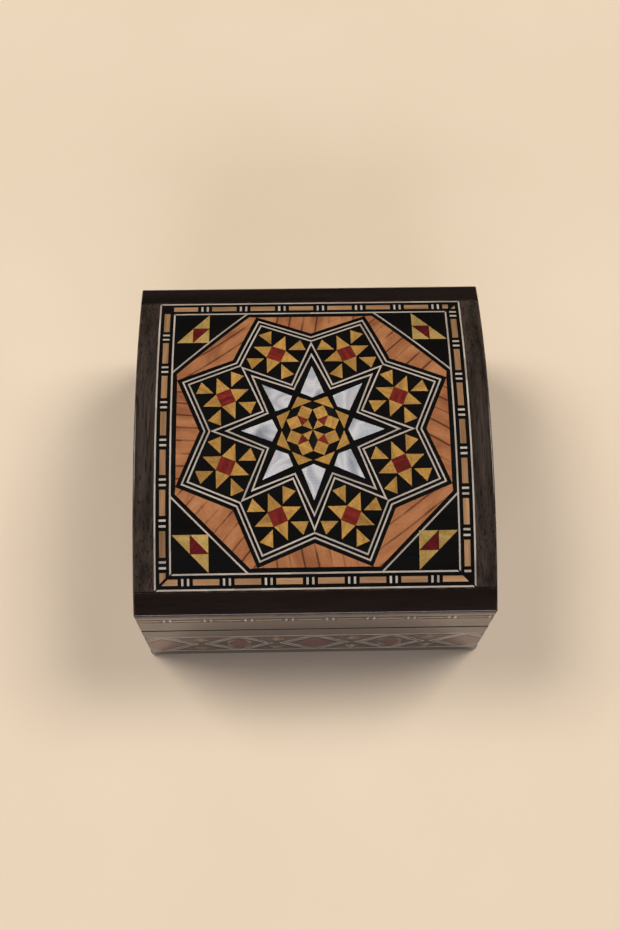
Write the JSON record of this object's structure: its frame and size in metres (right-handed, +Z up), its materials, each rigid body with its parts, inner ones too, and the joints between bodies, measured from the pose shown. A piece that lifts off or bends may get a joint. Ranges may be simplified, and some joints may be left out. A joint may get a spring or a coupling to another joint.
{
  "type": "inlaid wooden puzzle box",
  "caption": "Square wooden box with an arched hinged lid in star marquetry, a sliding front panel over a keyhole and a hidden key drawer.",
  "frame": {"origin": "centre of the underside of the closed box", "axes": "+Z up, front with the sliding panel towards -Y, +X to the right seen from the front"},
  "size_m": [0.12, 0.12, 0.0732],
  "materials": {
    "walnut": "dark walnut case timber under a clear gloss lacquer",
    "ebony_band": "near-black hardwood edge bands, gloss lacquered",
    "plain_timber": "plain poplar and ply for the hidden boards, waxed",
    "light_marquetry": "yellow citrus and boxwood mosaic with red and black chips, gloss lacquered",
    "mosaic_band": "mosaic strip of light, red and dark woods, gloss lacquered",
    "olive": "figured olive wood, gloss lacquered",
    "border_strip": "dashed inlay strip of tan, black and white woods, gloss lacquered",
    "ebony_ground": "black-stained wood ground, gloss lacquered",
    "white_string": "white maple stringing, gloss lacquered",
    "pearl": "mother-of-pearl, polished",
    "brass": "polished and lightly aged brass",
    "steel": "filed mild steel",
    "velvet": "short-pile burgundy velvet",
    "felt": "pressed wool felt"
  },
  "bodies": {
    "case": {"base_front_wall": "walnut", "base_back_wall": "walnut", "base_left_wall": "walnut", "base_right_wall": "walnut", "bottom_board": "plain_timber", "false_bottom": "plain_timber", "base_felt": "felt", "drawer_runners": "plain_timber", "left_mosaic_band": "mosaic_band", "right_mosaic_band": "mosaic_band", "back_mosaic_band": "mosaic_band", "base_velvet": "velvet", "floor_pad": "velvet", "escutcheon": "brass", "lock_case": "brass", "lock_back_plate": "brass", "lock_screws": "brass", "panel_stop_peg": "brass", "base_hinge_leaves": "brass", "hinge_pins": "brass", "base_hinge_screws": "brass"},
    "front_panel": {"panel_board": "plain_timber", "panel_mosaic": "mosaic_band"},
    "key_drawer": {"drawer_front": "walnut", "drawer_tray": "plain_timber", "box_key": "brass"},
    "cam": {"lock_cam": "brass"},
    "bolt": {"lock_bolt": "steel"},
    "lid": {"lid_front_rail": "walnut", "lid_back_rail": "walnut", "lid_left_end": "walnut", "lid_right_end": "walnut", "lid_core": "plain_timber", "lid_velvet": "velvet", "lid_ceiling_velvet": "velvet", "lid_hinge_leaves": "brass", "lid_hinge_screws": "brass", "lid_staple": "brass", "staple_screws": "brass", "lid_inlaid_lines": "border_strip", "top_band_front": "ebony_band", "top_band_back": "ebony_band", "top_band_left": "ebony_band", "top_band_right": "ebony_band", "border_front": "border_strip", "border_back": "border_strip", "border_left": "border_strip", "border_right": "border_strip", "ebony_ground": "ebony_ground", "corner_panels": "ebony_ground", "olive_side_fields": "olive", "olive_corner_fields": "olive", "star_tiles": "light_marquetry", "pearl_kites": "pearl", "centre_rosette": "light_marquetry", "star_strings": "white_string"}
  },
  "joints": [
    {"name": "lid_hinge", "type": "hinge", "parent": "case", "child": "lid", "pos_m": [0, 0.058, 0.0388], "axis": [-1, 0, 0], "range_deg": [0, 100]},
    {"name": "panel_slide", "type": "slide", "parent": "case", "child": "front_panel", "axis": [1, 0, 0], "range_m": [0, 0.068]},
    {"name": "drawer_slide", "type": "slide", "parent": "case", "child": "key_drawer", "axis": [-1, 0, 0], "range_m": [0, 0.036]},
    {"name": "cam_turn", "type": "hinge", "parent": "case", "child": "cam", "pos_m": [0, -0.0528, 0.025], "axis": [0, 1, 0], "range_deg": [0, 90]},
    {"name": "bolt_slide", "type": "slide", "parent": "case", "child": "bolt", "axis": [1, 0, 0], "range_m": [0, 0.00424]}
  ],
  "couplings": [
    {"joint": "cam_turn", "follows": "bolt_slide", "rad_per_m": 370.2}
  ]
}
